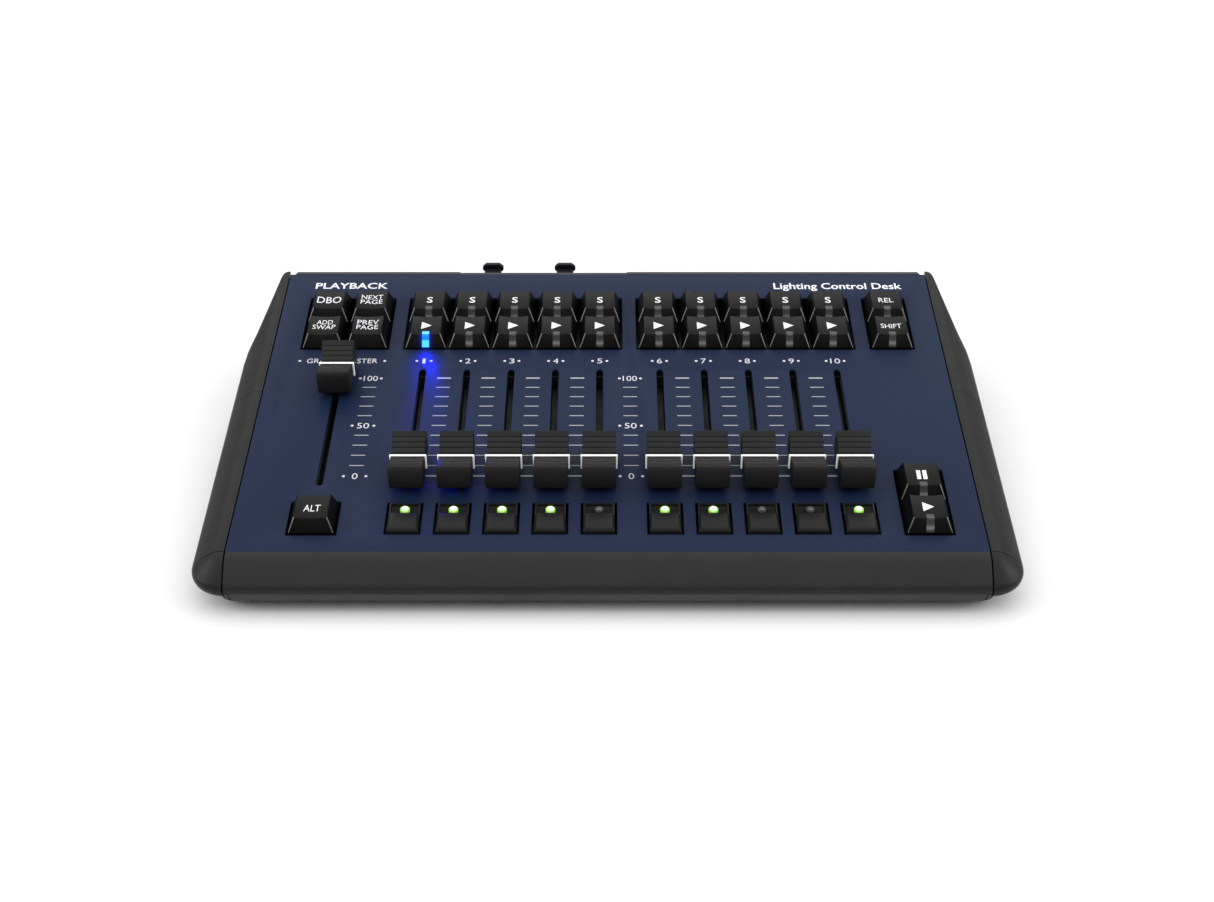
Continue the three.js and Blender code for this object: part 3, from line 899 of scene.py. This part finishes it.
for name, (u, v, legend, back, window) in keys.items():
    place = SLOPE @ shift(u, v)
    lit = name == LIT_KEY
    add(name + "_cap", KEYCAP_LIT if lit else KEYCAP,
        "key_lit+key_edge" if lit else "key+key_edge", name, place, [name], "key_plastic")
    add(name + "_stem", STEM, "switch", name, place, [name], "key_plastic")
    add(name + "_legend", on_dish(legend, back), "legend", name, place, slot="key_plastic")
    if lit:
        add(name + "_window", WINDOW_LIT, "window_lit", name, place, slot="key_plastic")
    elif window:
        add(name + "_window", WINDOW, "window", name, place, slot="key_plastic")

# light thrown forward over the panel by the lit window, from a near and a far spot;
# start and end are offsets from the middle of the key
lit_u, lit_v = keys[LIT_KEY][:2]
for name, start, end, angle, power in (
        ("window_glow", (0, -9.4, 5.5), (0.5, -17, 0), 100, 0.032),
        ("window_beam", (0, -8.6, 4.0), (9, -70, 0), 44, 0.1)):
    glow = place_light(name, "SPOT", on_slope(lit_u + start[0], lit_v + start[1], start[2]),
                       on_slope(lit_u + end[0], lit_v + end[1], end[2]))
    glow.shadow_soft_size = 1.2 * MM
    glow.color = (0.0, 0.006, 1.0)
    glow.spot_size = math.radians(angle)
    glow.spot_blend = 1.0
    glow.energy = power

# ------------------------------------------------------------------ flash buttons


def flash_mesh():
    """Button with a raised plate in front and a recess behind it for the fixed lamp."""
    half, front, back, top = 6.1, 10.4, 20.1, 0.65
    body = block("flash_body", (-half, half), (front, 27.2), (-4.3, 0.3))
    step = block("flash_step", (-half, half), (front, back), (0.28, 0.67))
    plate = loft("flash_plate", [
        [(-half, front, top), (half, front, top), (half, back, top), (-half, back, top)],
        [(-5.2, 11.5, 1.75), (5.2, 11.5, 1.75), (5.2, 20.0, 1.75), (-5.2, 20.0, 1.75)]])
    host = together("flash_button", [body, step, plate])
    recess = block("recess", (-half + 0.8, half - 0.8), (20.2, 26.7), (-1.0, 2))
    bore = turned("bore", [(1.95, -8), (1.95, 4)], 32)
    bore.transform(shift(y=24))
    mesh = cut(host, [recess, bore])
    return soften(mesh, 0.18, 2, 30, 35)


FLASH = flash_mesh()
lamp_foot = [(1.3, -11.9), (1.3, -2.0), (1.92, -1.9), (1.92, -0.3), (1.45, -0.3)]
lamp_dome = [(1.42 * math.cos(math.radians(a)), -0.3 + 0.95 * math.sin(math.radians(a)))
             for a in (8, 20, 35, 50, 65, 78, 88)]
LAMP = soften(turned("lamp", lamp_foot + lamp_dome, 32), 0, smooth=60)
LAMP_OFF = LAMP.copy()
PLUNGER = soften(turned("plunger", [(2.3, -6.6), (2.3, -4.0)], 20), 0.2)
for number, u in enumerate(COLUMNS, 1):
    name = f"flash_button_{number}"
    place = SLOPE @ shift(u)
    add(name + "_cap", FLASH, "flash", name, place, [name], "flash_plastic")
    add(name + "_plunger", PLUNGER, "switch", name, place @ shift(y=15.5), [name], "flash_plastic")
    lit = number in LIT_LAMPS
    add(f"lamp_{number}", LAMP if lit else LAMP_OFF, "lamp_on" if lit else "lamp_off",
        place=place @ shift(y=LAMP_V), **BOARD)

# ------------------------------------------------------------------ fader caps


def cap_profile():
    """Side outline, with shallow grooves across both slopes of the saddle."""
    front = flowing([(-12.4, 2.9), (-12.95, 6), (-12.9, 10.0), (-12.55, 12.1), (-12.0, 13.2),
                     (-11.3, 13.6)], 4)
    back = flowing([(9.9, 13.85), (11.1, 13.0), (12.1, 10.6), (12.55, 6), (12.2, 2.9)], 4)

    def grooved(a, b, grooves):
        a, b = Vector(a), Vector(b)
        run = (b - a).normalized()
        sink = Vector((run.y, -run.x)) * 0.26
        points = [a]
        for share in grooves:
            middle = a + (b - a) * share
            points += [middle - run * 0.3, middle + sink, middle + run * 0.12 + sink,
                       middle + run * 0.16]
        return [tuple(p) for p in points + [b]]

    falling = grooved((-10.9, 13.45), (-0.75, 9.35), (0.12, 0.84))
    rising = grooved((0.75, 9.35), (9.7, 13.75), (0.04, 0.28, 0.52, 0.76))
    return front + falling + rising + back


def cap_mesh():
    half, wall = 6.7, 1.3
    outer = along_x("fader_cap", cap_profile(), -half, half)
    hollow = block("hollow", (-half + wall, half - wall), (-11, 11), (0, 6.8))
    return soften(cut(outer, [hollow]), 0.2, 2, 50, 38)


CAP = cap_mesh()


def line_mesh():
    """White inlay: across the valley and down both flanks."""
    wide, deep = 7.35, 6.72
    top, low = 9.47, 2.7
    across = block("across", (-wide, wide), (-0.52, 0.52), (top - 0.5, top))
    left = block("left", (-wide, -deep), (-0.52, 0.52), (low, top - 0.3))
    right = block("right", (deep, wide), (-0.52, 0.52), (low, top - 0.3))
    return soften(together("pointer_line", [across, left, right]), 0.1, 1, 40)


LINE = line_mesh()
BLADE = soften(block("fader_blade", (-0.6, 0.6), (-2.4, 2.4), (-8.2, 7)), 0.1, 1)
faders = {f"fader_cap_{i}": (u, LOW_V) for i, u in enumerate(COLUMNS, 1)}
faders["master_fader_cap"] = (MASTER_U, LOW_V + TRAVEL)
for name, (u, v) in faders.items():
    place = SLOPE @ shift(u, v)
    add(name + "_grip", CAP, "cap", name, place, [name], "cap_plastic")
    add(name + "_line", LINE, "line", name, place, slot="cap_plastic")
    add(name + "_blade", BLADE, "steel", name, place, [name], "cap_plastic")

# ------------------------------------------------------------------ circuit board assembly

board_mesh = block("circuit_board", (-139.8, 139.8), (4.7, 177.8), BOARD_W)
add("circuit_board", soften(board_mesh, 0.2, 1), "board", **BOARD)
track = cut(block("track", (-4.5, 4.5), (SLOT_V[0] - 1.9, SLOT_V[1] + 1.9),
                  (BOARD_MOUNT_W, -3.5)),
            [block("groove", (-1.6, 1.6), (SLOT_V[0] + 0.6, SLOT_V[1] - 0.6), (-10.4, 0))])
soften(track, 0.25, 2)
for name, (u, v) in faders.items():
    add(name.replace("_cap", "") + "_track", track, "switch", place=SLOPE @ shift(u), **BOARD)
housing_rings = [[(-half, -half, w), (half, -half, w), (half, half, w), (-half, half, w)]
                 for half, w in ((6.9, BOARD_MOUNT_W), (6.9, -6.8), (5.4, -2.0))]
housing = cut(loft("housing", housing_rings),
              [block("well", (-3.4, 3.4), (-3.4, 3.4), (-9.4, 0))])
soften(housing, 0.25, 2)
for name, (u, v, *_) in keys.items():
    add(name + "_switch", housing, "switch", place=SLOPE @ shift(u, v), **BOARD)
tact = soften(block("tact", (-3, 3), (12.5, 18.5), (BOARD_MOUNT_W, -8.1)), 0.2, 2)
for number, u in enumerate(COLUMNS, 1):
    add(f"flash_switch_{number}", tact, "steel", place=SLOPE @ shift(u), **BOARD)


def socket_mesh():
    front = PANEL_DEPTH + 3
    body = turned("socket_body", [(11.75, PANEL_DEPTH - 14), (11.75, front - 0.5), (11.3, front),
                                  (9.75, front), (9.75, front - 9), (8, front - 9),
                                  (8, front - 0.7), (7.6, front - 0.4), (0, front - 0.4)], 48, "Y")
    holes = []
    for degrees in CONTACT_ANGLES:
        a = math.radians(degrees)
        hole = turned("pin_hole", [(1.1, front - 7), (1.1, front + 2)], 16, "Y")
        hole.transform(shift(CONTACT_RING * math.cos(a), 0, -CONTACT_RING * math.sin(a)))
        holes.append(hole)
    holes.append(block("channel", (-4.3, 4.3), (PANEL_DEPTH - 12, front + 2),
                       (-6.5 - SOCKET_W, -2.6 - SOCKET_W)))
    return soften(cut(body, holes), 0.12, 1, 40, 35)


socket = socket_mesh()
tower = cut(block("tower", (-6.1, 6.1), (PANEL_DEPTH - 13.9, PANEL_DEPTH + 2.9), (-8.5, -2.4)),
            [block("channel", (-4.3, 4.3), (PANEL_DEPTH - 12, PANEL_DEPTH + 4), (-6.5, -2.6))])
soften(tower, 0.3, 2)
sleeve_section = [(0.7, -6.9), (1.02, -6.9), (1.02, -0.9), (0.7, -0.9)]
sleeve = soften(turned("contact", sleeve_section, 16, "Y"), 0)
for number, u in enumerate(SOCKET_U, 1):
    add(f"socket_{number}_body", socket, "socket", place=SLOPE @ shift(u, 0, SOCKET_W), **BOARD)
    add(f"socket_{number}_tower", tower, "socket", place=SLOPE @ shift(u), **BOARD)
    for index, degrees in enumerate(CONTACT_ANGLES, 1):
        a = math.radians(degrees)
        place = SLOPE @ shift(u + CONTACT_RING * math.cos(a), PANEL_DEPTH + 3,
                              SOCKET_W - CONTACT_RING * math.sin(a))
        add(f"socket_{number}_contact_{index}", sleeve, "contact", place=place, **BOARD)
    name = f"socket_latch_{number}"
    pad_outline = [(-4.85, -3.7), (-3.3, -5.4), (3.3, -5.4), (4.85, -3.7), (4.85, -2.4),
                   (3.1, -0.75), (-3.1, -0.75), (-4.85, -2.4)]
    pad = cut(along_y("latch_pad", pad_outline, PANEL_DEPTH + 9, PANEL_DEPTH + 10.8),
              [block("grip", (-2.9, 2.9), (PANEL_DEPTH + 8.5, PANEL_DEPTH + 9.25), (-3.6, -2.4))])
    neck = block("latch_neck", (-3.85, 3.85), (PANEL_DEPTH - 9, PANEL_DEPTH + 9.4), (-6.1, -3))
    add(name + "_pad", soften(pad, 0.4, 3, 20, 50), "latch", name, SLOPE @ shift(u), [name],
        "latch_plastic")
    add(name + "_neck", soften(neck, 0.5, 3, 20, 50), "latch", name, SLOPE @ shift(u), [name],
        "latch_plastic")

mouth_v = PANEL_DEPTH + 1.5
shell = cut(block("shell", (-4.4, 4.4), (mouth_v - 9, mouth_v), (-11.9, -8.8)),
            [block("mouth", (-4.05, 4.05), (mouth_v - 6, mouth_v + 1), (-11.6, -9.1))])
soften(shell, 0.25, 2)
add("data_socket_shell", shell, "steel", place=SLOPE @ shift(DATA_SOCKET_U), **BOARD)
tongue = block("tongue", (-3.1, 3.1), (mouth_v - 6.4, mouth_v - 1.1), (-10.7, -10.1))
soften(tongue, 0.1, 1)
add("data_socket_tongue", tongue, "socket", place=SLOPE @ shift(DATA_SOCKET_U), **BOARD)

# ------------------------------------------------------------------ tray and feet

add("tray_folding", soften(cad_copy("base_tray", LEVEL), 0.25, 2, 35), "tray", place=LEVEL,
    replaces=["base_tray"], slot="tray_paint")

# lip along the tray's front, with rounded corners and a slanted slit near each end
LIP_HALF, LIP_FRONT, LIP_Z, LIP_ROUND = 146.4, -12.0, (6.05, 9.45), 4.0
lip_outline = [(-LIP_HALF + 6, -4), (LIP_HALF - 6, -4)]
for sign in (1, -1):
    turn = range(0, 91, 10) if sign > 0 else range(90, -1, -10)
    lip_outline += [(sign * (LIP_HALF - LIP_ROUND + LIP_ROUND * math.cos(math.radians(a))),
                     LIP_FRONT + LIP_ROUND - LIP_ROUND * math.sin(math.radians(a))) for a in turn]
slits = []
for sign in (-1, 1):
    slits.append(loft("slit", [[(sign * x, y, z) for x, y in
                                ((outer, -13), (outer - 0.55, -13), (outer - 0.55, -10.6),
                                 (outer, -10.6))]
                               for outer, z in ((143.5, 5.2), (145.9, 10.3))]))
lip = cut(along_z("front_lip", lip_outline, *LIP_Z), slits)
add("tray_front_lip", soften(lip, 0.25, 2, 35), "tray", place=LEVEL, replaces=["base_tray"],
    slot="tray_paint")

for side in ("front", "rear"):
    low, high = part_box(f"{side}_foot_strip")
    low, high = (low / MM) + Vector((0.1, 0.1, 0)), (high / MM) - Vector((0.1, 0.1, 0))
    r = 3
    outline = []
    for x, y, start in ((high.x - r, high.y - r, 0), (low.x + r, high.y - r, 90),
                        (low.x + r, low.y + r, 180), (high.x - r, low.y + r, 270)):
        outline += [(x + r * math.cos(math.radians(start + a)),
                     y + r * math.sin(math.radians(start + a))) for a in range(0, 91, 15)]
    mesh = soften(along_z(f"{side}_foot_rubber", outline, low.z, high.z), 0.35, 3)
    add(f"{side}_foot_rubber", mesh, "rubber", place=Matrix.Identity(4),
        replaces=[f"{side}_foot_strip"], slot="foot_rubber")
